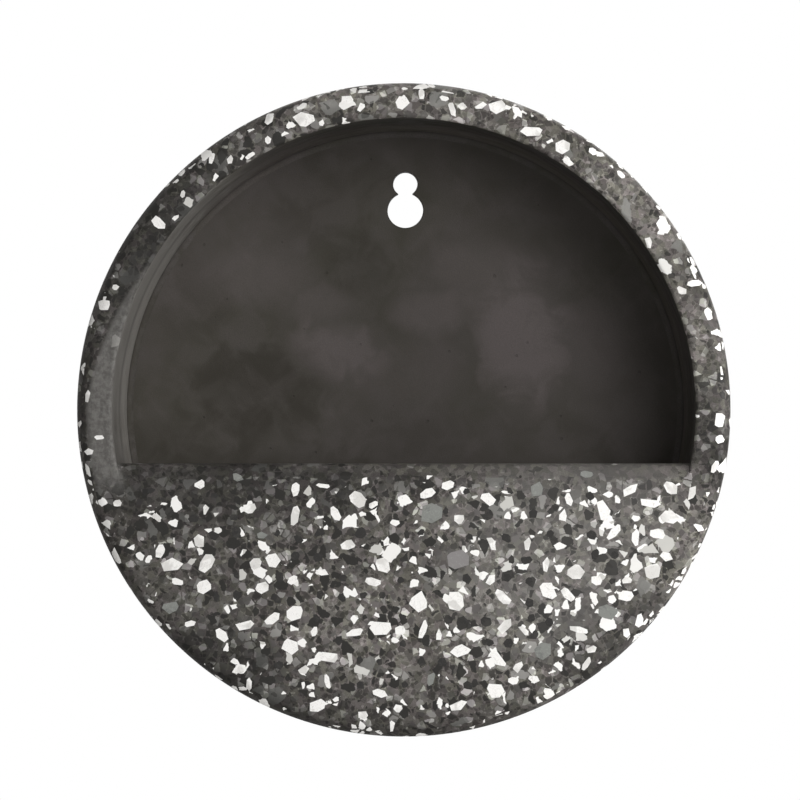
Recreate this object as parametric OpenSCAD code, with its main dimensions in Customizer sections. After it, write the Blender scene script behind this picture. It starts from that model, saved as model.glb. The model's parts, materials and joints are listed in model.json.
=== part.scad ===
// Wall-mounted drum planter of ground terrazzo, with a half-moon opening and a keyhole for one screw.
// Millimetres. The wall is the plane y = 0 and the front looks along -Y. The origin is on the axis of
// the keyhole's narrow end, at the rear face, because that is the point the planter hangs from.

/* [Drum] */
// Outside diameter of the drum
drum_d = 200; // [150:1:320]
// Depth from the rear face to the front face
drum_depth = 80; // [55:1:130]
// Thickness of the round side wall
wall_t = 11; // [8:0.5:16]
// Radius of the eased outer front edge
edge_r = 5; // [1:0.5:7]
// Radius of the inner edge of the rim
lip_r = 1.2; // [0.5:0.1:3]
// Radius of the outer rear edge
heel_r = 2; // [0.5:0.1:4]

/* [Back plate] */
// Thickness of the back plate
back_t = 10; // [7:0.5:16]
// Radius of the keyhole's narrow upper end, where the screw's shank sits
seat_r = 3.9; // [2.5:0.1:4.5]
// Radius of the keyhole's wide lower end, which lets the screw's head in
entry_r = 5.7; // [5.2:0.1:8]
// Distance from the centre of the wide end up to the centre of the narrow end
keyhole_rise = 8.4; // [8:0.1:9]
// Height of the narrow end's centre above the middle of the drum
hang_rise = 72.2; // [40:0.1:74]

/* [Front wall] */
// Thickness of the front wall
front_t = 11; // [8:0.5:16]
// Depth of the front wall's top edge below the middle of the drum
sill_drop = 16.4; // [-20:0.1:40]
// Radius of the top edge's front corner
sill_r = 4.5; // [1:0.5:6]
// Radius of the top edge's rear corner
sill_back_r = 2; // [0.5:0.1:4]

/* [Mortar] */
// Width of the mortar bead in the inner corners
bead_w = 2; // [1.5:0.1:6]
// Thickness of the bead's thin edges
bead_edge = 0.25; // [0.1:0.05:0.6]

/* [Stones] */
// Depth of the stones behind the ground face
stone_depth = 4; // [2:0.5:6]
// Mean length of the white and grey-green stones
stone_l = 4.7; // [2.8:0.1:5.2]
// Squareness of the stones' outlines: 2 is oval, more is blockier
blockiness = 2.8; // [2:0.1:4]
// Spacing of the black stones' loose grid
basalt_pitch = 6.4; // [5:0.1:14]
// Mean width of a black stone
basalt_w = 2.9; // [1.6:0.1:4]
// Share of the grid's places that hold a black stone
basalt_share = 0.7; // [0.1:0.05:0.9]
// Least distance kept between two stones
stone_gap = 0.4; // [0.2:0.1:1.5]
// Shuffle of the stones' outlines and the black stones' places
stone_seed = 7; // [1:1:99]

/* [Hidden] */
$fn = 96;
drum_r = drum_d / 2;
inner_r = drum_r - wall_t;
face_back = drum_depth - front_t;
over = 1;
// The written places of the stones suit a drum of 200 mm, and move out or in with its size.
spread = drum_d / 200;
// Their written lengths have a mean of 4.7 mm.
stone_scale = stone_l / 4.7;

// White marble, chosen by eye: across, up from the middle of the drum, length, width, turn.
marble_low = [
    [-74.2, -42.9, 4.6, 2.8, 70], [-70.6, -47.2, 7.2, 4.2, 12], [-62.3, -40.0, 4.2, 3.2, 95],
    [-60.0, -46.6, 6.6, 4.0, 62], [-60.9, -54.0, 4.8, 4.2, 20], [-69.0, -52.4, 3.8, 2.4, -15],
    [-47.0, -30.0, 4.2, 3.1, 5], [-45.0, -47.0, 4.0, 3.8, 8], [-39.7, -45.8, 4.8, 4.4, -4],
    [-43.0, -54.3, 4.2, 3.4, 20], [-62.2, -22.8, 3.3, 2.6, 30], [-60.4, -30.5, 3.2, 2.0, 80],
    [-75.2, -32.8, 3.6, 2.0, -35], [-87.2, -28.4, 2.8, 2.2, 10], [-33.0, -24.2, 4.6, 2.7, 85],
    [-33.1, -32.2, 6.4, 2.6, 78], [-24.4, -23.1, 4.4, 1.4, -8], [-20.8, -31.6, 5.0, 2.8, -60],
    [-13.9, -27.4, 5.8, 4.2, -42], [-9.2, -29.0, 3.2, 2.0, 30], [-17.0, -41.2, 4.8, 3.2, 10],
    [-5.3, -40.0, 3.4, 1.9, 85], [-6.2, -47.4, 5.0, 4.4, -75], [-9.3, -52.4, 5.0, 2.6, -14],
    [-24.7, -49.5, 4.2, 2.4, -10], [-33.8, -51.8, 3.6, 2.4, 35], [7.4, -25.4, 5.2, 2.9, 12],
    [13.6, -23.0, 4.4, 2.7, 18], [4.6, -58.6, 7.0, 5.4, 75], [17.0, -33.3, 3.4, 3.0, 0],
    [25.8, -27.0, 5.2, 3.4, -42], [50.4, -27.2, 4.3, 2.2, -70], [48.6, -32.2, 4.3, 2.4, 86],
    [61.0, -30.8, 7.0, 3.9, -72], [64.2, -37.2, 6.2, 2.6, 48], [26.9, -40.8, 4.8, 2.6, -55],
    [37.8, -41.0, 4.2, 2.4, 85], [47.6, -41.5, 4.2, 2.4, 15], [52.6, -49.4, 5.4, 4.8, 4],
    [43.4, -47.0, 4.8, 2.2, 88], [44.2, -55.0, 6.2, 4.4, -66], [50.2, -56.4, 5.2, 2.8, -42],
    [58.8, -52.0, 3.5, 3.0, 0], [58.2, -57.6, 4.2, 2.0, -75], [26.6, -51.8, 4.0, 2.8, 42],
    [30.4, -57.2, 6.2, 3.0, -42], [16.0, -58.4, 6.6, 5.0, -76], [69.2, -24.4, 5.8, 2.7, 30],
    [81.4, -23.8, 5.2, 3.4, -35], [87.9, -25.2, 5.2, 2.4, 68], [75.0, -28.4, 7.4, 2.6, -10],
    [81.3, -32.6, 6.6, 4.0, 0], [77.4, -37.7, 4.6, 3.4, -10], [70.8, -38.8, 5.6, 2.4, 86],
    [80.1, -44.8, 4.2, 2.9, -30], [75.9, -49.2, 5.4, 4.6, 12], [67.8, -56.6, 5.0, 3.4, 5],
    [68.0, -51.9, 3.2, 2.2, 0], [90.1, -35.9, 3.8, 2.2, -38], [-33.2, -61.9, 5.3, 4.7, 10],
    [-39.8, -63.6, 5.8, 2.8, 36], [-48.3, -65.7, 6.0, 2.9, 12], [-65.0, -65.2, 3.8, 1.8, 12],
    [-55.6, -68.6, 5.0, 3.2, -38], [-34.5, -72.1, 5.4, 4.6, -28], [-27.2, -67.6, 3.6, 2.0, 62],
    [-23.0, -75.3, 6.4, 3.4, -8], [-49.6, -79.0, 3.6, 3.0, 0], [-30.4, -79.2, 3.5, 2.8, 20],
    [-47.1, -83.6, 4.4, 1.7, 86], [-23.3, -82.8, 4.4, 1.8, -75], [-26.4, -90.2, 5.8, 3.8, 28],
    [-6.9, -66.6, 7.4, 4.6, 0], [-1.0, -67.3, 3.4, 2.9, 0], [-14.8, -67.9, 5.4, 2.3, 14],
    [6.0, -67.0, 6.0, 2.2, 72], [10.8, -68.6, 4.0, 1.7, 85], [17.4, -73.4, 6.8, 3.6, 14],
    [28.9, -76.0, 6.6, 3.2, -56], [30.9, -65.9, 6.2, 2.9, 50], [28.0, -85.6, 5.6, 4.8, 0],
    [16.8, -90.1, 6.0, 3.2, 14], [-7.2, -86.4, 5.0, 2.4, -15], [-1.7, -91.0, 3.2, 2.5, 0],
    [-12.4, -93.0, 3.0, 2.8, 0], [-3.5, -96.4, 3.8, 2.0, 84], [35.0, -78.3, 4.2, 2.5, 60],
    [33.5, -82.6, 3.3, 2.4, 0], [39.9, -82.1, 3.6, 2.6, -20], [44.2, -86.0, 3.4, 2.4, -10],
    [53.4, -67.0, 6.6, 2.0, -12], [36.7, -67.3, 4.2, 1.9, -45], [57.4, -73.0, 3.6, 2.3, 15],
    [55.8, -77.4, 4.6, 1.9, 58], [68.0, -68.0, 3.2, 2.3, -75], [71.9, -64.2, 4.6, 2.5, 80],
    [94.8, -17.4, 4.2, 2.0, 60]];
marble_high = [
    [-30.4, 88.6, 7.4, 4.2, -4], [-41.0, 88.8, 3.8, 2.6, 70], [-17.4, 94.6, 4.6, 2.6, 0],
    [-12.9, 92.2, 3.0, 2.2, 60], [-41.3, 82.4, 2.7, 1.9, 90], [-25.0, 87.6, 2.2, 1.9, 80],
    [-58.5, 76.8, 3.6, 1.7, 72], [-46.8, 77.6, 3.6, 1.5, 32], [-67.3, 65.8, 2.4, 1.6, 80],
    [-69.6, 58.6, 2.8, 1.4, 50], [-74.7, 57.0, 5.2, 3.0, -42], [-91.4, 32.0, 4.0, 3.3, 0],
    [-0.4, 93.6, 4.6, 3.9, -12], [5.5, 96.4, 3.8, 1.9, 88], [12.4, 95.0, 3.0, 1.6, -10],
    [14.9, 91.6, 4.6, 1.9, -72], [17.9, 92.6, 3.4, 2.2, 0], [23.5, 92.7, 3.8, 2.0, 20],
    [28.6, 92.5, 5.2, 4.2, 20], [34.6, 91.1, 4.8, 2.2, -52], [39.0, 85.0, 6.8, 3.2, -2],
    [48.4, 80.2, 5.0, 4.0, 30], [50.3, 75.6, 3.8, 2.0, -38], [57.8, 78.8, 3.2, 2.0, -40],
    [66.3, 71.8, 3.2, 1.7, -46], [79.1, 56.3, 5.8, 3.8, -70], [74.7, 51.0, 4.0, 2.2, -68],
    [84.8, 36.4, 3.8, 2.3, -30], [88.7, 38.6, 5.0, 2.0, 4], [93.0, 29.2, 4.0, 2.4, -70],
    [96.3, -3.2, 4.6, 3.6, 80], [96.4, -9.0, 3.0, 2.6, 0], [-96.4, 4.2, 3.8, 1.7, 85],
    [-96.0, -12.8, 2.9, 2.2, 10], [-92.9, -8.4, 3.2, 1.4, 0], [-87.8, 37.4, 2.4, 1.8, 0],
    [-52.9, 76.4, 2.8, 1.9, 80]];
// Soft grey-green stones, chosen by eye in the same terms
greenstones = [
    [8.6, -31.6, 7.6, 6.2, 20], [16.4, -45.6, 7.4, 5.6, 10], [-50.6, -20.6, 3.8, 2.2, -30],
    [55.8, -19.6, 4.2, 2.2, 0], [40.6, -24.2, 5.6, 4.2, 80], [-71.2, -60.2, 5.2, 3.8, 12],
    [62.4, -61.6, 6.2, 4.6, -15], [-43.0, -38.2, 3.4, 2.4, 10], [42.6, -73.4, 6.4, 4.8, 30],
    [8.4, -82.0, 4.4, 2.4, 75]];

// A repeatable number from 0 to 1 for any pair of whole numbers
function chance(i, j) = rands(0, 1, 1, stone_seed * 7919 + i * 131 + j * 17)[0];

// Corner k of n on a stone's outline: a blocky oval with few corners, each knocked in or left proud
function stone_corner(id, k, n, long, wide) =
    let (a = 360 / n * (k + 0.64 * chance(id, k) - 0.32),
         reach = (0.88 + 0.18 * chance(id, k + 40))
                 / pow(pow(abs(cos(a)), blockiness) + pow(abs(sin(a)), blockiness), 1 / blockiness))
    [long / 2 * reach * cos(a), wide / 2 * reach * sin(a)];

function stone_outline(id, long, wide) =
    let (n = 5 + floor(3 * chance(id, 90)))
    [for (k = [0 : n - 1]) stone_corner(id, k, n, long, wide)];

module stones_2d(places, first_id, size) {
    for (i = [0 : len(places) - 1])
        let (s = places[i])
            translate([s[0], s[1]] * spread) rotate(s[4])
                polygon(stone_outline(first_id + i, s[2] * size, s[3] * size));
}

// Black stones stand on a loose grid over the front wall, away from the edges and the other stones.
hand_set = concat(marble_low, greenstones);
basalt_longest = 1.3 * basalt_w;
basalt_margin = basalt_longest / 2 + stone_gap;
basalt_play = max(0, basalt_pitch - basalt_longest - stone_gap);
function clear_of_stones(p, w) =
    min([for (s = hand_set) norm(p - [s[0], s[1]] * spread) - (s[2] * stone_scale + w) / 2]) > stone_gap;
basalt_rows = ceil(drum_r / basalt_pitch);
basalts = [for (i = [-basalt_rows : basalt_rows], j = [-basalt_rows : basalt_rows])
    let (id = 500 + (i + basalt_rows) * 60 + j + basalt_rows,
         p = [i, j] * basalt_pitch + [chance(id, 1) - 0.5, chance(id, 2) - 0.5] * basalt_play,
         long = basalt_longest * (0.6 + 0.4 * chance(id, 3)),
         wide = long * (0.6 + 0.4 * chance(id, 4)))
    if (chance(id, 5) < basalt_share && norm(p) < inner_r - basalt_margin
        && p[1] < -sill_drop - sill_r - basalt_margin && clear_of_stones(p, long))
        [p[0] / spread, p[1] / spread, long, wide, 360 * chance(id, 6)]];

// Draws in the face's own view: x across, y up from the middle of the drum, z out from the wall
module on_wall() {
    translate([0, 0, -hang_rise]) rotate([90, 0, 0]) children();
}

// What a rounded corner takes off: the corner lies at the origin and the solid at -x, -y of it
module corner_2d(r) {
    difference() {
        translate([-r, -r]) square(r + over);
        translate([-r, -r]) circle(r);
    }
}

// The same along the x axis, for a straight edge
module corner_bar(r, length) {
    translate([-length / 2, 0, 0]) rotate([90, 0, 90]) linear_extrude(length) corner_2d(r);
}

module stone_prisms(places, first_id, size = stone_scale) {
    translate([0, 0, drum_depth - stone_depth])
        linear_extrude(stone_depth + over) stones_2d(places, first_id, size);
}

// Everything above the front wall's top edge
module above_sill(z0, height) {
    translate([-drum_r - over, -sill_drop, z0]) cube([2 * (drum_r + over), 2 * drum_r + over, height]);
}

// The rounded front edge that the half-moon opening has where it meets the drum wall
module lip_cut() {
    intersection() {
        translate([0, 0, drum_depth]) rotate_extrude()
            translate([inner_r, 0]) mirror([1, 0]) corner_2d(lip_r);
        above_sill(drum_depth - lip_r - over, lip_r + 2 * over);
    }
}

module sill_cuts() {
    intersection() {
        union() {
            translate([0, -sill_drop, drum_depth]) corner_bar(sill_r, drum_d);
            translate([0, -sill_drop, face_back]) mirror([0, 0, 1]) corner_bar(sill_back_r, drum_d);
        }
        translate([0, 0, face_back - over]) cylinder(h = front_t + 2 * over, r = inner_r);
    }
}

module drum_wall_blank() {
    difference() {
        rotate_extrude() difference() {
            translate([inner_r, 0]) square([wall_t, drum_depth]);
            translate([drum_r, drum_depth]) corner_2d(edge_r);
            translate([drum_r, 0]) mirror([0, 1]) corner_2d(heel_r);
        }
        lip_cut();
    }
}

module front_wall_blank() {
    difference() {
        translate([0, 0, face_back]) cylinder(h = front_t, r = inner_r);
        above_sill(face_back - over, front_t + 2 * over);
        sill_cuts();
    }
}

// The whole ground face with its eased edges: what the stones are ground flush with
module ground_face() {
    difference() {
        rotate_extrude() difference() {
            translate([0, face_back]) square([drum_r, front_t]);
            translate([drum_r, drum_depth]) corner_2d(edge_r);
        }
        lip_cut();
        sill_cuts();
    }
}

// A hollow bead of mortar in the corner between the drum wall and a flat face, seen in section
module bead_2d() {
    difference() {
        translate([inner_r - bead_w, 0]) square(bead_w);
        translate([inner_r - bead_w, bead_w]) circle(bead_w - bead_edge);
    }
}

module drum_wall() {
    color("#5a5652") on_wall() difference() {
        drum_wall_blank();
        stone_prisms(marble_high, 200);
        stone_prisms(marble_low, 0);
        stone_prisms(greenstones, 300);
    }
}

module back_plate() {
    color("#45413e") on_wall() difference() {
        cylinder(h = back_t, r = inner_r);
        translate([0, hang_rise, -over]) cylinder(h = back_t + 2 * over, r = seat_r);
        translate([0, hang_rise - keyhole_rise, -over]) cylinder(h = back_t + 2 * over, r = entry_r);
    }
}

module front_wall() {
    color("#5a5652") on_wall() difference() {
        front_wall_blank();
        stone_prisms(marble_low, 0);
        stone_prisms(greenstones, 300);
        stone_prisms(basalts, 400, 1);
    }
}

module rear_fillet() {
    color("#4b4743") on_wall() translate([0, 0, back_t]) rotate_extrude() bead_2d();
}

// This bead ends under the rounded rear corner of the front wall's top edge.
module front_fillet() {
    color("#4b4743") on_wall() difference() {
        translate([0, 0, face_back]) mirror([0, 0, 1]) rotate_extrude() bead_2d();
        translate([0, -sill_back_r, 0]) above_sill(face_back - bead_w - over, bead_w + 2 * over);
    }
}

module set_stones(places, first_id, size = stone_scale) {
    on_wall() intersection() {
        ground_face();
        stone_prisms(places, first_id, size);
    }
}

module marble_front() {
    color("#f3f0ea") set_stones(marble_low, 0);
}

module marble_rim() {
    color("#f3f0ea") set_stones(marble_high, 200);
}

module greenstone_front() {
    color("#7f827c") set_stones(greenstones, 300);
}

module basalt_front() {
    color("#2c2a28") set_stones(basalts, 400, 1);
}

drum_wall();
back_plate();
front_wall();
rear_fillet();
front_fillet();
marble_front();
marble_rim();
greenstone_front();
basalt_front();
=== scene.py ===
import json
import math

import bmesh
import bpy
import numpy as np
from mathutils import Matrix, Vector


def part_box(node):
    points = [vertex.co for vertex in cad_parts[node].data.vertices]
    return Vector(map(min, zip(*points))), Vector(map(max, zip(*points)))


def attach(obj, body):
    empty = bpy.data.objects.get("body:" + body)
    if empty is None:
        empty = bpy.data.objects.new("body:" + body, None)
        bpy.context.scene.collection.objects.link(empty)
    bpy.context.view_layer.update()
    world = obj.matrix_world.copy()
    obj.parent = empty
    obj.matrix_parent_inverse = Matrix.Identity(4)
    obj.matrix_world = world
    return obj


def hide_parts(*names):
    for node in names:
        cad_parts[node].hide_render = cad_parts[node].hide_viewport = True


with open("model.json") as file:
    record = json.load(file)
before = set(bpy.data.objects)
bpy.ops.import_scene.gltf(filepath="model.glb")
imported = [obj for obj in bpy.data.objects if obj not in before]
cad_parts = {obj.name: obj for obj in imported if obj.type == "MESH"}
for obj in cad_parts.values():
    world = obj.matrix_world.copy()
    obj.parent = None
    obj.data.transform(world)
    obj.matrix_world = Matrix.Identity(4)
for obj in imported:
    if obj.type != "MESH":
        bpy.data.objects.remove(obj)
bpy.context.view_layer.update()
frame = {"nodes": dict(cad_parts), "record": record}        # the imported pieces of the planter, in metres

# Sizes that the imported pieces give
mounts = {mount["name"]: mount for mount in frame["record"]["mounts"]}
middle = np.array(mounts["wall_face"]["pos_m"])      # the drum's middle, on the wall
drumLow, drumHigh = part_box("drum_wall")
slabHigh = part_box("front_wall")[1]
plateLow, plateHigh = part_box("back_plate")
outerR = (drumHigh[0] - drumLow[0]) / 2
innerR = (plateHigh[0] - plateLow[0]) / 2
drumDepth = drumHigh[1] - drumLow[1]
slabBack = -slabHigh[1]                              # how far the slab's rear face is from the wall
plateDepth = plateHigh[1] - plateLow[1]
sillZ = slabHigh[2] - middle[2]
beadLow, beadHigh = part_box("rear_fillet")
beadWidth = beadHigh[1] - beadLow[1]
mm = 0.001
quarter = math.pi / 2                                # a quarter turn


# Mesh helpers

def latticeValue(i, j, k, seed):
    # a repeatable number from 0 to 1 for every whole-numbered point
    n = (i * 73856093) ^ (j * 19349663) ^ (k * 83492791) ^ (seed * 26544357)
    n = ((n ^ (n >> 13)) * 1274126177) & 0xFFFFFFFF
    return ((n ^ (n >> 16)) & 0xFFFF) / 65535


def softNoise(points, size, seed):
    # lattice values a size apart, blended smoothly between the eight corners of each cube, -1 to 1
    p = points / size
    base = np.floor(p).astype(np.int64)
    f = p - base
    f = f * f * (3 - 2 * f)
    total = np.zeros(points.shape[:-1])
    for a in (0, 1):
        for b in (0, 1):
            for c in (0, 1):
                weight = (np.abs(1 - a - f[..., 0]) * np.abs(1 - b - f[..., 1])
                          * np.abs(1 - c - f[..., 2]))
                total += weight * latticeValue(base[..., 0] + a, base[..., 1] + b, base[..., 2] + c, seed)
    return 2 * total - 1


def smooth(value, low, high):
    t = np.clip((value - low) / (high - low), 0, 1)
    return t * t * (3 - 2 * t)


def gridNormals(points, closedU):
    # the cross product of the grid's two directions, at unit length. It is closed along v.
    if closedU:
        alongU = np.roll(points, -1, 0) - np.roll(points, 1, 0)
    else:
        alongU = np.gradient(points, axis=0)
    normal = np.cross(alongU, np.roll(points, -1, 1) - np.roll(points, 1, 1))
    return normal / np.maximum(np.linalg.norm(normal, axis=-1, keepdims=True), 1e-12)


def addObject(name, data):
    made = bpy.data.objects.new(name, data)
    bpy.context.scene.collection.objects.link(made)
    return made


sharpFrom = 38               # edges that turn more than this, in degrees, look sharp


def gridPiece(name, points, skins, rowSlot=0, closedU=True, caps=()):
    # a grid of points (u, v, xyz) made into quads, closed along v and, unless it has caps, along u
    nu, nv = points.shape[:2]
    index = np.arange(nu * nv).reshape(nu, nv)
    if closedU:
        near, far = index, np.roll(index, -1, 0)
    else:
        near, far = index[:-1], index[1:]
    quads = np.stack([near, far, np.roll(far, -1, 1), np.roll(near, -1, 1)], -1)
    slots = np.broadcast_to(rowSlot, quads.shape[:2])
    mesh = bpy.data.meshes.new(name)
    faces = quads.reshape(-1, 4).tolist() + [list(cap(index)) for cap in caps]
    mesh.from_pydata(points.reshape(-1, 3), [], faces)
    mesh.polygons.foreach_set("material_index", np.concatenate(
        [slots.reshape(-1), np.zeros(len(caps), int)]).astype(np.int32))
    work = bmesh.new()
    work.from_mesh(mesh)
    bmesh.ops.remove_doubles(work, verts=work.verts, dist=1e-6)
    bmesh.ops.dissolve_degenerate(work, edges=work.edges, dist=1e-7)
    bmesh.ops.recalc_face_normals(work, faces=work.faces)
    work.to_mesh(mesh)
    work.free()
    mesh.polygons.foreach_set("use_smooth", np.ones(len(mesh.polygons), bool))
    mesh.set_sharp_from_angle(angle=math.radians(sharpFrom))
    mesh.update()
    for skin in skins:
        mesh.materials.append(skin)
    return addObject(name, mesh)


def fromFace(x, z, d):
    # face view to the frame: x across, z up from the drum's middle, d out from the wall
    return np.stack(np.broadcast_arrays(x, -d, z + middle[2]), -1)


def span(start, end, count):
    # count steps from start up to, but without, end
    return start + (end - start) * np.arange(count) / count


# the slow waves and small lumps of a surface that set in its mould: height, size and seed
castWaves = ((1.0, 34 * mm, 3), (0.35, 11 * mm, 5), (0.12, 3.2 * mm, 9))


def castRelief(points, amount):
    return amount * sum(height * softNoise(points, size, seed) for height, size, seed in castWaves)


# Shader helpers

def addNode(tree, kind, inputs=None, **settings):
    made = tree.nodes.new(kind)
    for key, value in settings.items():
        setattr(made, key, value)
    for key, value in (inputs or {}).items():
        if isinstance(value, bpy.types.NodeSocket):
            tree.links.new(value, made.inputs[key])
        else:
            made.inputs[key].default_value = value
    return made


def calc(tree, operation, a, b=0.0, clamp=False):
    return addNode(tree, "ShaderNodeMath", {0: a, 1: b}, operation=operation, use_clamp=clamp).outputs[0]


def ease(tree, value, low, high, to=(0.0, 1.0)):
    inputs = {"Value": value, "From Min": low, "From Max": high, "To Min": to[0], "To Max": to[1]}
    return addNode(tree, "ShaderNodeMapRange", inputs, interpolation_type="SMOOTHSTEP").outputs["Result"]


def within(tree, mask, outside, inside):
    # one value where the mask is 0 and another where it is 1
    return ease(tree, mask, 0.0, 1.0, (outside, inside))


def times(tree, first, *others):
    for other in others:
        first = calc(tree, "MULTIPLY", first, other)
    return first


def inverse(tree, mask):
    return calc(tree, "SUBTRACT", 1.0, mask)


def makeGrey(tree, level):
    return addNode(tree, "ShaderNodeCombineColor", {0: level, 1: level, 2: level}).outputs[0]


def blend(tree, factor, a, b, mode="MIX"):
    inputs = {0: factor, 6: a, 7: b}
    return addNode(tree, "ShaderNodeMix", inputs, data_type="RGBA", blend_type=mode).outputs[2]


def tones(tree, value, stops):
    # one flat tone from each stop up to the next
    made = addNode(tree, "ShaderNodeValToRGB", {"Fac": value})
    ramp = made.color_ramp
    ramp.interpolation = "CONSTANT"
    while len(ramp.elements) < len(stops):
        ramp.elements.new(0.5)
    for element, (place, colour) in zip(ramp.elements, stops):
        element.position = place
        element.color = (*colour, 1)
    return made.outputs["Color"]


def makeNoise(tree, point, scale, detail, roughness=0.5, distortion=0.0):
    inputs = {"Vector": point, "Scale": scale, "Detail": detail, "Roughness": roughness,
              "Distortion": distortion}
    return addNode(tree, "ShaderNodeTexNoise", inputs).outputs


def makeCells(tree, point, scale, feature="F1"):
    inputs = {"Vector": point, "Scale": scale, "Randomness": 1.0}
    return addNode(tree, "ShaderNodeTexVoronoi", inputs, feature=feature).outputs


def splitColour(tree, colour):
    return addNode(tree, "ShaderNodeSeparateColor", {"Color": colour}).outputs


def vectorCalc(tree, operation, inputs):
    return addNode(tree, "ShaderNodeVectorMath", inputs, operation=operation).outputs


def newGroup(name, inputs):
    # each input with the number that it starts from, or None for a vector
    tree = bpy.data.node_groups.new(name, "ShaderNodeTree")
    for label, start in inputs.items():
        kind = "NodeSocketVector" if start is None else "NodeSocketFloat"
        socket = tree.interface.new_socket(name=label, in_out="INPUT", socket_type=kind)
        if start is not None:
            socket.default_value = start
    return tree, addNode(tree, "NodeGroupInput").outputs


def closeGroup(tree, outputs):
    for label, value in outputs.items():
        kind = "NodeSocketVector" if value.type == "VECTOR" else "NodeSocketFloat"
        tree.interface.new_socket(name=label, in_out="OUTPUT", socket_type=kind)
    addNode(tree, "NodeGroupOutput", outputs)
    return tree


def useGroup(tree, group, inputs):
    return addNode(tree, "ShaderNodeGroup", inputs, node_tree=group).outputs


chipOutline = {
    "bends": 0.9,                # scale of the noise that bends the cells' sides
    "border": 0.035,             # how soft a chip's edge is
}


def makeStoneBed():
    # Chips cast in cement: cells with straight sides, each present or not, drawn in by a gap
    inputs = {"Point": None, "Cell": 3.0, "Share": 0.5, "Gap": 0.08, "Wander": 0.3}
    tree, given = newGroup("stoneBed", inputs)
    wobble = makeNoise(tree, given["Point"], chipOutline["bends"], 1.0)["Color"]
    shift = vectorCalc(tree, "SUBTRACT", {0: wobble, 1: (0.5, 0.5, 0.5)})[0]
    shift = vectorCalc(tree, "SCALE", {0: shift, "Scale": given["Wander"]})[0]
    place = vectorCalc(tree, "ADD", {0: given["Point"], 1: shift})[0]
    scale = calc(tree, "DIVIDE", 1.0, given["Cell"])
    chances = splitColour(tree, makeCells(tree, place, scale)["Color"])
    edges = makeCells(tree, place, scale, "DISTANCE_TO_EDGE")
    present = calc(tree, "LESS_THAN", chances[0], given["Share"])
    full = calc(tree, "ADD", given["Gap"], chipOutline["border"])
    inside = ease(tree, edges["Distance"], given["Gap"], full)
    return closeGroup(tree, {"Mask": calc(tree, "MULTIPLY", present, inside), "Tone": chances[1],
                             "Shade": chances[2]})


castGrain = {
    "clouds": (3.0, 0.5, 0.6),   # detail, roughness and distortion of the patches
    "cloudRange": (0.34, 0.66),
    "sand": (2.4, 4.0, 0.75),    # scale, detail and roughness
    "pitScale": 0.28,            # cells with a pit in the middle of some
    "pitReach": (0.80, 1.0, (0.0, 0.16)),    # from which chance a cell has one, and how large it is
    "pitEdge": 22.0,
}


def makeCastClouds():
    # Large soft patches and fine sand, as cement shows when it dries unevenly
    g = castGrain
    tree, given = newGroup("castClouds", {"Point": None, "Cloud size": 40.0})
    scale = calc(tree, "DIVIDE", 1.0, given["Cloud size"])
    clouds = makeNoise(tree, given["Point"], scale, *g["clouds"])["Fac"]
    sand = makeNoise(tree, given["Point"], *g["sand"])["Fac"]
    holes = makeCells(tree, given["Point"], g["pitScale"])
    reach = ease(tree, splitColour(tree, holes["Color"])[0], *g["pitReach"])
    pits = calc(tree, "SUBTRACT", reach, holes["Distance"])
    return closeGroup(tree, {"Clouds": ease(tree, clouds, *g["cloudRange"]), "Sand": sand,
                             "Pits": calc(tree, "MULTIPLY", pits, g["pitEdge"], clamp=True)})


def makeDrumPlace():
    # Where a point lies on the drum, in millimetres: round its middle, out from the wall and up
    tree, given = newGroup("drumPlace", {"Object point": None})
    inputs = {"Vector": given["Object point"], "Location": (0, 0, -middle[2] / mm), "Scale": (1 / mm,) * 3}
    place = addNode(tree, "ShaderNodeMapping", inputs).outputs[0]
    x, y, z = addNode(tree, "ShaderNodeSeparateXYZ", {0: place}).outputs
    flat = addNode(tree, "ShaderNodeCombineXYZ", {0: x, 2: z}).outputs[0]
    return closeGroup(tree, {"Point": place, "Reach": vectorCalc(tree, "LENGTH", {0: flat})["Value"],
                             "Out": calc(tree, "MULTIPLY", y, -1.0), "Across": x, "Up": z})


stoneBed = makeStoneBed()
castClouds = makeCastClouds()
drumPlace = makeDrumPlace()
print("shader groups made")


# Materials

def clearTree(owner):
    # the empty node tree of a material or a world
    owner.use_nodes = True
    owner.node_tree.nodes.clear()
    return owner.node_tree


def newMaterial(name):
    material = bpy.data.materials.new(name)
    tree = clearTree(material)
    shader = addNode(tree, "ShaderNodeBsdfPrincipled")
    addNode(tree, "ShaderNodeOutputMaterial", {"Surface": shader.outputs[0]})
    point = addNode(tree, "ShaderNodeTexCoord").outputs["Object"]
    return material, tree, shader, useGroup(tree, drumPlace, {"Object point": point})


def layClouds(tree, place, size):
    return useGroup(tree, castClouds, {"Point": place["Point"], "Cloud size": size})


def finishMaterial(tree, shader, colour, roughness, height, settings):
    bump = addNode(tree, "ShaderNodeBump", {"Height": height, "Strength": 1.0,
                                            "Distance": settings["relief"] * mm}).outputs[0]
    for value, socket in ((colour, "Base Color"), (roughness, "Roughness"), (bump, "Normal")):
        tree.links.new(value, shader.inputs[socket])
    shader.inputs["Specular IOR Level"].default_value = settings["gloss"]


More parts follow.
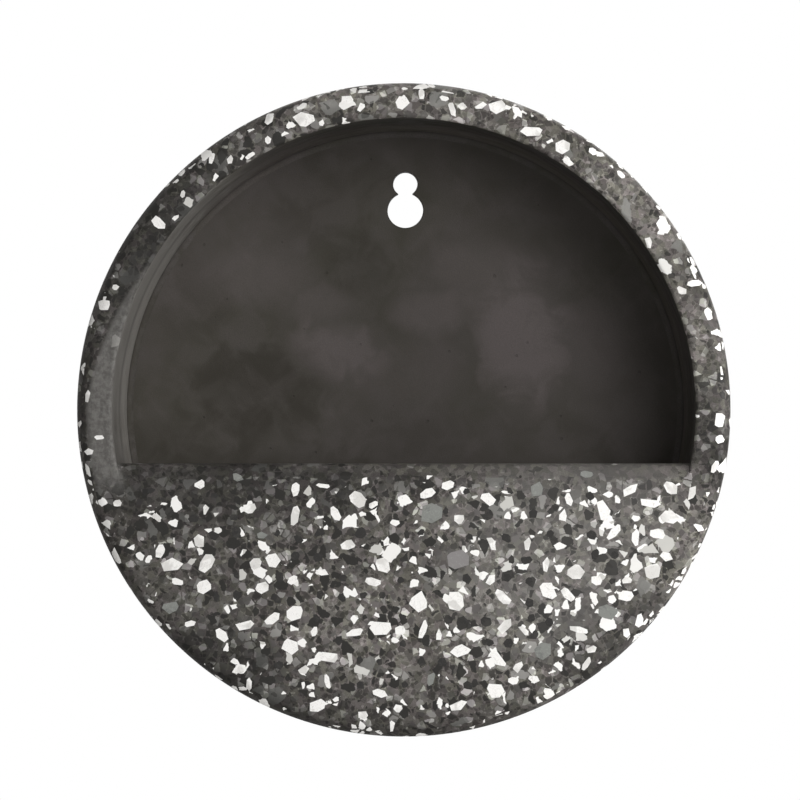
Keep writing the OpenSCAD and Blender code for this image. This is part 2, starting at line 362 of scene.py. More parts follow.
terrazzo = {
    # colours of the cement, and of each kind of chip with the share from which its tones start
    "cement": (0.084, 0.077, 0.070, 1),
    "cementPale": (0.141, 0.132, 0.122, 1),
    "cementSand": (0.03, 0.027, 0.024, 1),
    "grit": ((0.0, (0.034, 0.031, 0.028)), (0.42, (0.085, 0.079, 0.072)), (0.80, (0.178, 0.169, 0.158))),
    "fine": ((0.0, (0.016, 0.015, 0.014)), (0.28, (0.034, 0.031, 0.028)), (0.47, (0.075, 0.071, 0.066)),
             (0.70, (0.195, 0.188, 0.179)), (0.90, (0.36, 0.352, 0.335))),
    "bold": ((0.0, (0.017, 0.016, 0.015)), (0.58, (0.080, 0.076, 0.070)), (0.80, (0.205, 0.199, 0.188))),
    "tints": ((0.0, (0.98, 1.0, 0.93)), (0.3, (0.99, 0.99, 0.98)), (0.7, (1.0, 0.96, 0.99))),
    "black": (0.018, 0.017, 0.015, 1),
    "whiteChip": (0.83, 0.815, 0.79, 1),
    "whiteGreyed": (0.5, 0.49, 0.46, 1),
    "edgeChip": (0.76, 0.745, 0.715, 1),
    "greyStone": (0.178, 0.174, 0.164, 1),
    "greyStoneDark": (0.10, 0.10, 0.092, 1),
    "pit": (0.012, 0.011, 0.010, 1),
    # size in mm, gap between neighbours, wander of the outline, and share of the places that hold a chip
    "beds": {"grit": (1.2, 0.06, 0.3, 0.70), "fines": (1.9, 0.02, 0.6, 1.0),
             "fine": (2.4, 0.065, 0.6, 0.56), "bold": (3.5, 0.09, 0.8, 0.22),
             "mid": (5.6, 0.10, 0.9, 0.08), "white": (4.4, 0.12, 0.7, 0.108),
             "crumb": (2.6, 0.12, 0.6, 0.115)},
    "strength": {"grit": 0.75, "fine": 0.93, "bold": 0.95, "mid": 0.85},
    "cloudSize": 26.0,
    "sand": (0.3, 0.7, (0.5, 0.0)),                # where the sand shows and how strongly
    "mottle": (0.70, 1.36),      # darkest and palest of the fines against the mean
    "blacks": (("fine", 0.28, 0.55), ("bold", 0.58, 0.85)),     # share that is black, and how deep
    # where the parts of the face set in, in mm: from the wall, up, across or from the drum's middle
    "frontOut": (66.0, 76.0),
    "rimUp": (-27.0, -19.0),
    "rimSides": (30.0, 66.0),
    "rimRight": (0.0, 18.0),
    "edgeReach": (96.4, 98.2),
    "edgeOut": (71.0, 76.0),
    "shoulderReach": (93.6, 96.0),
    "sillBelow": (4.9, 3.3),
    "sillReach": (88.0, 89.6),
    # the eased edges were ground less, most of all at the lower left and on the right of the sill; their
    # darkening, strongest at the lower left, is partly painted shade
    "lowLeft": (0.6, 30.0, -70.0, (0.25, 1.0)),    # slant, where it sets in, and least and most
    "bareEdge": 0.55,            # how far the chips thin out there
    "bareSill": (-4.0, 10.0, 0.85),                # where it sets in and how far the chips thin out
    "edgeToneAndShade": 0.25,            # how much darker the eased edges are
    # the left-to-right change is partly the cement's own tone, partly painted shade on the left and painted
    # light on the right
    "sideToneAndShade": (0.25, -95.0, 80.0, (0.77, 1.52)),    # slant, far left and right, and the tone there
    "rimTone": 0.79,             # tone of the rim against the front wall
    "rimContrast": 0.85,         # how clearly the chips stand out on the rim
    "rimRightBold": 0.18,        # share of the bold chips that are left on the rim's right
    "rimRightBlack": 0.5,        # how black they are there
    "paleSideBlack": (-20.0, 70.0, (1.0, 0.72)),   # the same towards the pale right side
    # white chips: how many there are in each place against the middle of the front
    "edgeFewer": 0.82,
    "rimFewer": 0.70,
    "rimSideWhites": 0.35,
    "sideWhites": 0.65,
    "acrossWhites": (-90.0, 80.0, (0.94, 1.12)),
    "edgeWhites": (-80.0, 90.0, (1.2, 2.1)),
    "clumps": (0.09, 0.40, 0.60, (0.35, 1.60)),    # they gather: scale, range of the noise, fewest and most
    "fewWhites": (-64, -23, 30, 7, 0.85),          # an oval with fewer: across, up, half sizes, share gone
    "greyedFrom": (0.72, 0.98),  # the share of the white chips that are greyer
    "edgeGreyed": 0.8,
    # darker and paler patches: across, up, half sizes, and tone; the paler bands along the top edge (-5,
    # 98) and the sill's edge (-40, -17) are partly painted highlights
    "patches": [(-75, 50, 26, 38, 0.48), (-46, -25, 50, 12, 0.56), (-20, -24, 32, 7, 0.80),
                (48, -24, 52, 6, 0.84), (4, -63, 50, 14, 1.25), (-62, -77, 25, 15, 0.50),
                (-5, 98, 70, 8, 1.32), (92, -7, 11, 22, 0.48), (90, 30, 10, 12, 1.15),
                (-4, -95, 62, 11, 0.74), (68, -72, 25, 20, 0.60), (70, 64, 18, 20, 1.40),
                (-7, -45, 9, 7, 0.72), (-36, -67, 15, 10, 1.20), (-8, -76, 13, 14, 1.12),
                (40, -86, 22, 10, 0.84), (-27, -53, 8, 6, 1.15), (-40, -17, 42, 4, 1.30)],
    # the same for the drum's outer shoulder alone: mostly painted light and shade that even out the lamps
    # on the rounded edge, paler at the upper left and darker on the right
    "shoulder": [(-80, 56, 30, 36, 1.30), (92, 30, 20, 30, 0.62), (68, 70, 20, 20, 0.70),
                 (94, -26, 16, 26, 0.62), (72, -66, 16, 16, 0.84), (52, -82, 16, 14, 0.96),
                 (-30, -92, 50, 18, 0.84), (10, 98, 18, 8, 0.86), (-25, 94, 12, 9, 1.25)],
    "sidePatches": 0.25,         # how much of the patches' tone shows on the side wall
    "raggedPatches": 0.4,
    "roughness": (0.64, 0.48),   # of the cement and of the chips
    "edgeRoughness": 0.66,
    "pitted": 0.8,               # how clearly the pits show outside the white chips
    # heights of the chips, the sand and the pits, and what they come to in mm
    "heights": (0.35, 0.9, 2.5),
    "relief": 0.05,
    "gloss": 0.12,
}
# a paler patch on the rim's left shoulder, in mm: partly a film of cement with few chips, partly a painted
# sheen
filmAndSheen = {
    "colour": (0.098, 0.093, 0.087, 1),
    "pale": (0.140, 0.135, 0.127, 1),
    "border": 98.6,              # the outer border's reach
    "lean": (2.0, 0.16),         # above this height the border leans in by this share of the height
    "grain": (0.6, 4.0, 0.7),    # scale, detail and roughness of its noise
    "ragged": 3.0,
    "soft": (-0.4, 1.2),
    # where it sets in: across, up, from the middle, and down from its top
    "limits": (("Across", -56.0, -68.0), ("Up", -28.0, -18.0), ("Reach", 86.6, 89.6), ("Up", 62.0, 16.0)),
    "paleFrom": (0.36, 0.62),
    "cover": (0.3, 0.7, (0.70, 0.95)),
}
# a thin grey veil over the front wall's right half
veil = {
    "colour": (0.180, 0.174, 0.166, 1),
    "oval": (54.0, -46.0, 44.0, 40.0),
    "ragged": 0.5,
    "strength": 0.28,
    "thinOut": (84.0, 92.0, (1.0, 0.25)),
}


ovalEdge = (1.7, 0.2)        # an oval starts and is full here, as (x / half)^2 + (z / half)^2


def makeOval(tree, place, x, z, halfX, halfZ, ragged):
    # 1 in the middle of an oval and 0 outside it, with a ragged edge
    a = calc(tree, "POWER", calc(tree, "DIVIDE", calc(tree, "SUBTRACT", place["Across"], x), halfX), 2.0)
    b = calc(tree, "POWER", calc(tree, "DIVIDE", calc(tree, "SUBTRACT", place["Up"], z), halfZ), 2.0)
    return ease(tree, calc(tree, "ADD", calc(tree, "ADD", a, b), ragged), *ovalEdge)


def findBands(tree, place):
    # The parts of the ground face that look different, each 1 inside and 0 outside
    t = terrazzo
    across, up, reach = place["Across"], place["Up"], place["Reach"]
    front = ease(tree, place["Out"], *t["frontOut"])
    rim = times(tree, ease(tree, up, *t["rimUp"]), front)
    edge = times(tree, ease(tree, reach, *t["edgeReach"]), ease(tree, place["Out"], *t["edgeOut"]))
    sillFrom, sillTo = [sillZ / mm - below for below in t["sillBelow"]]
    sill = times(tree, ease(tree, up, sillFrom, sillTo), inverse(tree, ease(tree, reach, *t["sillReach"])))
    slant, *lowLeft = t["lowLeft"]
    edgePlain = times(tree, edge, ease(tree, calc(tree, "ADD", up, times(tree, across, slant)), *lowLeft))
    bareFrom, bareTo, bare = t["bareSill"]
    return {
        "front": front, "rim": rim, "edge": edge, "plain": calc(tree, "MAXIMUM", edgePlain, sill),
        "rimSides": times(tree, rim, ease(tree, calc(tree, "ABSOLUTE", across), *t["rimSides"])),
        "rimRight": times(tree, rim, ease(tree, across, *t["rimRight"])),
        "sillOpen": inverse(tree, times(tree, sill, ease(tree, across, bareFrom, bareTo), bare)),
        "shoulder": times(tree, ease(tree, reach, *t["shoulderReach"]), front),
    }


def whiteChances(tree, place, bands):
    # How many white chips there are in each place
    t = terrazzo
    scale, *clumps = t["clumps"]
    gathered = makeNoise(tree, place["Point"], scale, 1.0)["Fac"]
    *oval, fewer = t["fewWhites"]
    chances = times(tree, inverse(tree, times(tree, bands["plain"], t["edgeFewer"])),
                    inverse(tree, times(tree, bands["rim"], t["rimFewer"])),
                    ease(tree, place["Across"], *t["acrossWhites"]),
                    within(tree, bands["front"], t["sideWhites"], 1.0),
                    within(tree, bands["rimSides"], 1.0, t["rimSideWhites"]),
                    ease(tree, gathered, *clumps),
                    within(tree, makeOval(tree, place, *oval, 0.0), 1.0, 1 - fewer),
                    bands["sillOpen"])
    onEdge = times(tree, bands["edge"], ease(tree, place["Across"], *t["edgeWhites"]))
    return calc(tree, "MAXIMUM", chances, onEdge)


def layChips(tree, place, bands):
    # One bed of chips for each kind, thinned out on the eased edges
    t = terrazzo
    bare = times(tree, bands["plain"], t["bareEdge"])
    chipsOpen = times(tree, inverse(tree, bare), bands["sillOpen"])
    whiteOpen = whiteChances(tree, place, bands)
    openness = {"bold": times(tree, chipsOpen, within(tree, bands["rimRight"], 1.0, t["rimRightBold"])),
                "white": whiteOpen, "crumb": whiteOpen}
    chips = {}
    for name, (cell, gap, wander, share) in t["beds"].items():
        share = times(tree, openness.get(name, chipsOpen), share)
        chips[name] = useGroup(tree, stoneBed, {"Point": place["Point"], "Cell": cell, "Gap": gap,
                                                "Wander": wander, "Share": share})
    return chips


def paintFines(tree, fines, colour):
    # The fines between the larger chips vary in tone and a little in tint
    low, high = terrazzo["mottle"]
    level = within(tree, fines["Shade"], low / high, 1.0)
    tinted = tones(tree, fines["Tone"], terrazzo["tints"])
    level = vectorCalc(tree, "SCALE", {0: tinted, "Scale": times(tree, level, high)})[0]
    return blend(tree, 1.0, colour, level, "MULTIPLY")


def findTone(tree, place, bands, cast):
    # Slow change of tone from left to right, partly painted shade and light; darker and paler patches, some
    # of them painted shade or highlights; darker eased edges, partly painted shade, and darker rim
    t = terrazzo
    slant, *sides = t["sideToneAndShade"]
    tone = ease(tree, calc(tree, "ADD", place["Across"], times(tree, place["Up"], slant)), *sides)
    fainter = within(tree, bands["front"], t["sidePatches"], 1.0)
    ragged = times(tree, cast["Clouds"], t["raggedPatches"])
    for name, where in (("patches", fainter), ("shoulder", bands["shoulder"])):
        for *oval, darker in t[name]:
            patch = times(tree, makeOval(tree, place, *oval, ragged), where)
            tone = times(tree, tone, within(tree, patch, 1.0, darker))
    for band, darker in (("plain", 1 - t["edgeToneAndShade"]), ("rim", t["rimTone"])):
        tone = times(tree, tone, within(tree, bands[band], 1.0, darker))
    return tone


def findFilmAndSheen(tree, place, grain):
    # The border stands at one reach, leans in with height and is ragged by the grain
    leanFrom, lean = filmAndSheen["lean"]
    leaning = times(tree, calc(tree, "MAXIMUM", calc(tree, "SUBTRACT", place["Up"], leanFrom), 0.0), lean)
    border = calc(tree, "SUBTRACT", filmAndSheen["border"], leaning)
    border = calc(tree, "SUBTRACT", border, times(tree, grain, filmAndSheen["ragged"]))
    mask = ease(tree, calc(tree, "SUBTRACT", border, place["Reach"]), *filmAndSheen["soft"])
    for name, low, high in filmAndSheen["limits"]:
        mask = times(tree, mask, ease(tree, place[name], low, high))
    return mask


def makeTerrazzo():
    t = terrazzo
    material, tree, shader, place = newMaterial("groundTerrazzo")
    cast = layClouds(tree, place, t["cloudSize"])
    bands = findBands(tree, place)
    chips = layChips(tree, place, bands)

    # Cement with its sand, then the chips from small to large
    colour = blend(tree, cast["Clouds"], t["cement"], t["cementPale"])
    colour = blend(tree, ease(tree, cast["Sand"], *t["sand"]), colour, t["cementSand"])
    clear = within(tree, bands["rim"], 1.0, t["rimContrast"])
    for name in ("grit", "fine", "bold"):
        seen = times(tree, chips[name]["Mask"], t["strength"][name], clear)
        colour = blend(tree, seen, colour, tones(tree, chips[name]["Tone"], t[name]))
        if name == "fine":
            colour = paintFines(tree, chips["fines"], colour)
    mottled = blend(tree, cast["Sand"], t["greyStone"], t["greyStoneDark"])
    colour = blend(tree, times(tree, chips["mid"]["Mask"], t["strength"]["mid"]), colour, mottled)
    colour = blend(tree, 1.0, colour, makeGrey(tree, findTone(tree, place, bands, cast)), "MULTIPLY")

    veiled = makeOval(tree, place, *veil["oval"], times(tree, cast["Clouds"], veil["ragged"]))
    veiled = times(tree, veiled, ease(tree, place["Reach"], *veil["thinOut"]))
    colour = blend(tree, times(tree, veiled, veil["strength"]), colour, veil["colour"])
    # the black chips stay black under the veil and, a little weaker, on the pale side
    kept = times(tree, ease(tree, place["Across"], *t["paleSideBlack"]),
                 within(tree, bands["rimRight"], 1.0, t["rimRightBlack"]), bands["sillOpen"])
    for name, blackShare, depth in t["blacks"]:
        black = calc(tree, "LESS_THAN", chips[name]["Tone"], blackShare)
        black = times(tree, chips[name]["Mask"], black, kept, depth)
        colour = blend(tree, black, colour, t["black"])

    whites = calc(tree, "MAXIMUM", chips["white"]["Mask"], chips["crumb"]["Mask"])
    greyed = ease(tree, chips["white"]["Tone"], *t["greyedFrom"])
    greyed = blend(tree, greyed, t["whiteChip"], t["whiteGreyed"])
    greyed = blend(tree, times(tree, bands["edge"], t["edgeGreyed"]), greyed, t["edgeChip"])
    colour = blend(tree, whites, colour, greyed)

    # the paler patch on the rim's left shoulder, partly a painted sheen
    grain = makeNoise(tree, place["Point"], *filmAndSheen["grain"])["Fac"]
    filmAndSheenMask = findFilmAndSheen(tree, place, grain)
    filmAndSheenTone = blend(tree, ease(tree, grain, *filmAndSheen["paleFrom"]), filmAndSheen["colour"], filmAndSheen["pale"])
    colour = blend(tree, times(tree, filmAndSheenMask, ease(tree, grain, *filmAndSheen["cover"])), colour, filmAndSheenTone)
    pitted = calc(tree, "MULTIPLY", cast["Pits"], calc(tree, "SUBTRACT", t["pitted"], whites), clamp=True)
    colour = blend(tree, pitted, colour, t["pit"])

    # The chips took more polish than the cement, and stand a little proud of it
    hard = calc(tree, "MAXIMUM", chips["fine"]["Mask"], chips["bold"]["Mask"])
    hard = calc(tree, "MAXIMUM", hard, whites)
    left = times(tree, calc(tree, "MAXIMUM", filmAndSheenMask, bands["plain"]), t["edgeRoughness"])
    roughness = calc(tree, "MAXIMUM", within(tree, hard, *t["roughness"]), left)
    proud, grit, deep = t["heights"]
    height = calc(tree, "ADD", times(tree, hard, proud), times(tree, cast["Sand"], grit))
    height = calc(tree, "SUBTRACT", height, times(tree, cast["Pits"], deep))
    finishMaterial(tree, shader, colour, roughness, height, t)
    return material


castConcrete = {
    "olive": (0.070, 0.065, 0.053, 1),
    "purple": (0.102, 0.090, 0.086, 1),
    "pale": (0.152, 0.132, 0.129, 1),
    "dark": (0.051, 0.046, 0.038, 1),
    "grains": (0.030, 0.028, 0.025, 1),
    "pinhole": (0.016, 0.015, 0.013, 1),
    "cloudSize": 46.0,
    "clouds": (0.6, 0.30),       # how strongly the large and the small clouds show
    "ragged": 0.7,               # how far the small clouds move the patches' edges
    "sand": 0.22,                # how strongly the sand shows
    "sandRange": (0.3, 0.7),
    "pits": 0.45,                # how strongly the pinholes show
    "pitDepth": 2.0,
    "roughness": (0.78, 0.66),
    "relief": 0.07,
    "gloss": 0.1,
    "patches": [],
}
backConcrete = {
    **castConcrete,
    # paler (+) and darker (-) patches: across, up, half sizes, and strength; most darker ones, along the
    # sill, on the left and under the top rim, are painted shade
    "patches": [(-22, 19, 17, 11, 0.75), (37, 22, 16, 24, 0.95), (-50, 42, 22, 10, 0.35),
                (8, 31, 14, 8, 0.50), (26, 44, 20, 10, 0.40), (-27, 33, 13, 7, 0.40),
                (2, 12, 20, 12, 0.26), (-14, 46, 11, 13, -0.45), (-66, 36, 13, 15, -0.40),
                (-30, 62, 14, 11, -0.32), (-48, 5, 24, 17, -0.90), (-2, -11, 24, 9, -0.25),
                (-78, -9, 14, 9, -0.45), (60, -9, 16, 10, -0.38), (-50, 11, 16, 11, -0.50),
                (60, 21, 11, 15, 0.30), (-50, -17, 46, 7, -0.60), (-24, 72, 26, 13, -0.40)],
    "pits": 0.2,
    "wipes": 0.15,               # how strongly the marks of the cloth show
}
wallConcrete = {
    **castConcrete,
    "pale": (0.158, 0.150, 0.138, 1),
    "cloudSize": 30.0,
    # the paler left side of the wall is painted light
    "patches": [(-80, 30, 40, 70, 1.0)],
    "leftSide": (-78, 38, 50, 72),
    "leftRagged": 0.5,
    # painted light next to the back plate and painted shade at the opening, round the drum and on its left
    # side
    "depthLightAndShade": ((1.75, 0.46), (1.60, 0.88)),
    "depthRange": (12.0, 64.0),
    # the mould's joint on the left: distance from the wall, half width and strength
    "ring": (45.0, 6.5, 0.30),
}
mortar = {
    **castConcrete,
    # the bead's colours are paler than the cast's: painted light against the shade in its corner
    "olive": (0.084, 0.078, 0.064, 1),
    "purple": (0.120, 0.108, 0.107, 1),
    "cloudSize": 17.0,
    # painted shade on the left, where the bead catches the lamps, and painted light at the upper left
    "patches": [(-84, 14, 26, 52, -0.55), (-48, 70, 22, 20, 0.45)],
    "sand": 0.35,
}
rearConcrete = {
    **castConcrete,
    "olive": (0.105, 0.099, 0.090, 1),
    "purple": (0.150, 0.142, 0.133, 1),
    "pale": (0.200, 0.192, 0.180, 1),
    "cloudSize": 38.0,
    "sand": 0.35,
    "wipes": 0.35,
}
# the strokes of the cloth: turn and shift of each pass, how long they are drawn out, and their noise
wipeStrokes = {
    "passes": ((0.9, 3.0), (-0.8, 31.0)),
    "length": 2.4,
    "noise": (0.10, 4.0, 0.62),
    "range": (0.50, 0.74),
}


def addWipes(tree, place, colour, settings):
    # Streaks along a slanting line, as left by wiping the fresh cast with a cloth
    w = wipeStrokes
    for turn, shift in w["passes"]:
        inputs = {"Vector": place["Point"], "Rotation": (0, turn, 0), "Location": (shift, 0, 0),
                  "Scale": (w["length"], 1, 1)}
        slant = addNode(tree, "ShaderNodeMapping", inputs, vector_type="TEXTURE").outputs[0]
        streak = makeNoise(tree, slant, *w["noise"])["Fac"]
        strength = ease(tree, streak, *w["range"], (0.0, settings["wipes"]))
        colour = blend(tree, strength, colour, settings["pale"])
    return colour


def paintDepthLightAndShade(tree, place, cast, settings):
    # Painted light on the wall next to the plate and painted shade towards the opening, both weaker on the
    # left side
    ragged = times(tree, cast["Clouds"], settings["leftRagged"])
    onLeft = makeOval(tree, place, *settings["leftSide"], ragged)
    outwards = ease(tree, place["Out"], *settings["depthRange"])
    (deep, deepLeft), (front, frontLeft) = zip(*settings["depthLightAndShade"])
    deep = times(tree, inverse(tree, outwards), within(tree, onLeft, deep, deepLeft))
    front = times(tree, outwards, within(tree, onLeft, front, frontLeft))
    at, half, strength = settings["ring"]
    ring = ease(tree, calc(tree, "ABSOLUTE", calc(tree, "SUBTRACT", place["Out"], at)), half, half / 3)
    ring = times(tree, ring, onLeft, strength)
    return times(tree, calc(tree, "ADD", deep, front), inverse(tree, ring))


def makeCast(name, settings):
    s = settings
    material, tree, shader, place = newMaterial(name)
    cast = layClouds(tree, place, s["cloudSize"])
    small = layClouds(tree, place, s["cloudSize"] / 4)
    large, fainter = s["clouds"]
    colour = blend(tree, times(tree, cast["Clouds"], large), s["olive"], s["purple"])
    colour = blend(tree, times(tree, small["Clouds"], fainter), colour, s["purple"])
    ragged = times(tree, small["Clouds"], s["ragged"])
    for *oval, strength in s["patches"]:
        patch = makeOval(tree, place, *oval, ragged)
        patchColour = s["pale" if strength > 0 else "dark"]
        colour = blend(tree, times(tree, patch, abs(strength)), colour, patchColour)
    if "depthLightAndShade" in s:
        tone = makeGrey(tree, paintDepthLightAndShade(tree, place, cast, s))
        colour = blend(tree, 1.0, colour, tone, "MULTIPLY")
    if "wipes" in s:
        colour = addWipes(tree, place, colour, s)
    sandy = ease(tree, cast["Sand"], *s["sandRange"], (s["sand"], 0.0))
    colour = blend(tree, sandy, colour, s["grains"])
    colour = blend(tree, times(tree, cast["Pits"], s["pits"]), colour, s["pinhole"])
    roughness = within(tree, small["Clouds"], *s["roughness"])
    height = calc(tree, "SUBTRACT", cast["Sand"], times(tree, cast["Pits"], s["pitDepth"]))
    finishMaterial(tree, shader, colour, roughness, height, s)
    return material


marble = {
    "plain": (0.84, 0.825, 0.80, 1),
    "second": (0.56, 0.545, 0.52, 1),
    "vein": (0.46, 0.44, 0.41, 1),
    "cloudSize": 9.0,
    "clouds": (0.62, 1.0, (0.0, 0.75)),            # where the second tone shows and how strongly
    "veinNoise": (0.42, 2.0, 0.5, 1.6),            # scale, detail, roughness and distortion
    "veinLine": (0.025, 0.0, (0.0, 0.5)),          # half width of a vein and how strongly it shows
    "specks": (0.35, 0.65, (0.10, 0.0)),
    "roughness": (0.3, 0.7, (0.55, 0.42)),
    "relief": 0.02,
    "gloss": 0.16,
}
greenstone = {
    **marble,
    "plain": (0.185, 0.190, 0.175, 1),
    "second": (0.12, 0.122, 0.115, 1),
    "vein": (0.27, 0.275, 0.26, 1),
    "cloudSize": 4.0,
    # the stone at one place is lilac-grey: across, up and half sizes
    "lilac": (0.196, 0.184, 0.182, 1),
    "lilacAt": (17.0, -43.0, 9.0, 9.0),
}
basalt = {
    **marble,
    "plain": (0.016, 0.015, 0.014, 1),
    "second": (0.032, 0.030, 0.027, 1),
    "vein": (0.045, 0.042, 0.038, 1),
    "cloudSize": 4.0,
    "roughness": (0.3, 0.7, (0.56, 0.44)),
}


def makeStone(name, settings):
    s = settings
    material, tree, shader, place = newMaterial(name)
    cast = layClouds(tree, place, s["cloudSize"])
    colour = blend(tree, ease(tree, cast["Clouds"], *s["clouds"]), s["plain"], s["second"])
    if "lilac" in s:
        colour = blend(tree, makeOval(tree, place, *s["lilacAt"], 0.0), colour, s["lilac"])
    # a vein runs where the noise passes its middle
    streaks = calc(tree, "SUBTRACT", makeNoise(tree, place["Point"], *s["veinNoise"])["Fac"], 0.5)
    vein = ease(tree, calc(tree, "ABSOLUTE", streaks), *s["veinLine"])
    colour = blend(tree, vein, colour, s["vein"])
    colour = blend(tree, ease(tree, cast["Sand"], *s["specks"]), colour, s["vein"])
    roughness = ease(tree, cast["Sand"], *s["roughness"])
    finishMaterial(tree, shader, colour, roughness, cast["Sand"], s)
    return material


terrazzoSkin = makeTerrazzo()
castSkin = makeCast("castConcrete", castConcrete)
plateSkin = makeCast("cloudedConcrete", backConcrete)
wallSkin = makeCast("wallConcrete", wallConcrete)
rearSkin = makeCast("trowelledRear", rearConcrete)
mortarSkin = makeCast("mortarBead", mortar)
marbleSkin = makeStone("whiteMarble", marble)
greenstoneSkin = makeStone("greyGreenStone", greenstone)
basaltSkin = makeStone("blackBasalt", basalt)
print("materials made")


# Pieces

drumShape = {
    "columns": 768,
    "edgeR": 5 * mm,             # eased outer front edge
    "heelR": 2 * mm,             # rear outer edge
    "lipR": 1.2 * mm,            # inner edge of the opening
    "squareLip": 0.02 * mm,      # what is left of that roundness next to the front wall
    "lipFade": 4.5 * mm,         # height over which it goes
    "grindDepth": 0.04 * mm,     # how far the cement lies behind the stones' ground faces
    "nick": 0.45 * mm,           # depth of the deepest nicks along the opening's edge
    "nickSize": 2.4 * mm,
    "nickFrom": (0.25, 0.8),     # value of the noise from which one starts and is full
    "nickRows": (3, 4.0),        # the lip's row in their middle, and how many rows they reach
    "wave": 0.12 * mm,           # unevenness of the cast inside
    "sideWave": 0.4,             # the side's against the inside's
    "ripple": 0.02 * mm,         # finer unevenness of the side
    "rippleSize": 5 * mm,
    # rows of points: over the rear, the rear edge, the side, the front edge, the front, the lip, the inside
    "rows": (6, 8, 22, 14, 10, 8, 22),
}


def makeDrumWall():
    # A closed profile (reach from the middle, distance out from the wall) carried round the drum's
    # axis. The opening's edge is rounded above the front wall's top and square below it.
    s = drumShape
    turn = np.linspace(0, 2 * math.pi, s["columns"], endpoint=False)[:, None]
    r0, r1, depth = innerR, outerR - s["grindDepth"], drumDepth - s["grindDepth"]
    openHere = smooth(np.sin(turn) * innerR, sillZ - s["lipFade"], sillZ)
    lip = s["squareLip"] + (s["lipR"] - s["squareLip"]) * openHere
    nRear, nHeel, nSide, nEdge, nFront, nLip, nInside = s["rows"]
    rearEnd, sideStart, sideEnd, _, lipStart, insideStart, _ = np.cumsum(s["rows"])
    heel, edge = span(-quarter, 0, nHeel), span(0, quarter, nEdge)
    lipTurn = span(quarter, 2 * quarter, nLip)
    ones = np.ones_like(turn)
    reach = np.concatenate([
        ones * span(r0, r1 - s["heelR"], nRear), ones * (r1 - s["heelR"] + s["heelR"] * np.cos(heel)),
        ones * np.full(nSide, r1), ones * (r1 - s["edgeR"] + s["edgeR"] * np.cos(edge)),
        r1 - s["edgeR"] + (r0 + lip - r1 + s["edgeR"]) * span(0, 1, nFront),
        r0 + lip + lip * np.cos(lipTurn), ones * np.full(nInside, r0)], 1)
    out = np.concatenate([
        ones * np.zeros(nRear), ones * (s["heelR"] + s["heelR"] * np.sin(heel)),
        ones * span(s["heelR"], depth - s["edgeR"], nSide),
        ones * (depth - s["edgeR"] + s["edgeR"] * np.sin(edge)), ones * np.full(nFront, depth),
        depth - lip + lip * np.sin(lipTurn), (depth - lip) + (0 - depth + lip) * span(0, 1, nInside)], 1)
    points = fromFace(reach * np.cos(turn), reach * np.sin(turn), out)
    normals = gridNormals(points, True)
    rows = np.arange(reach.shape[1])
    inner = (rows >= insideStart)[None, :]
    # small nicks where grains broke out of the opening's edge
    lipRow, nickReach = s["nickRows"]
    nearLip = np.exp(-((rows - lipStart - lipRow) / nickReach) ** 2)[None, :] * openHere
    nicks = s["nick"] * nearLip * smooth(softNoise(points, s["nickSize"], seed=21), *s["nickFrom"])
    side = ((rows > sideStart) & (rows < sideEnd))[None, :]
    # the inside is even where the plate, the beads and the front wall meet it
    free = smooth(out, plateDepth + beadWidth, plateDepth + 3 * beadWidth)
    free *= 1 - (1 - openHere) * smooth(out, slabBack - 3 * beadWidth, slabBack - beadWidth)
    relief = castRelief(points, s["wave"]) * (inner * free + s["sideWave"] * side)
    relief += s["ripple"] * softNoise(points, s["rippleSize"], seed=7) * side
    points = points - normals * (nicks + np.abs(relief))[..., None]
    # terrazzo, but plain concrete over the rear, and the inside's own from the end of the lip on
    slots = (rows < rearEnd) + 2 * (rows >= insideStart - 2)
    piece = gridPiece("drumWall", points, (terrazzoSkin, rearSkin, wallSkin), slots)
    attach(piece, "root")
    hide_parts("drum_wall")


slabShape = {
    "columns": 300,
    "sillR": 4.5 * mm,           # front corner of the top edge
    "sillBackR": 2 * mm,         # rear corner of the top edge
    "lump": 0.05 * mm,           # unevenness of the top edge
    "lumpSize": 4 * mm,
    "topRows": (14, 5, 8),       # rows of points over the front corner, the flat and the rear corner
    "rearRows": 12,
    "faceRows": 40,
}


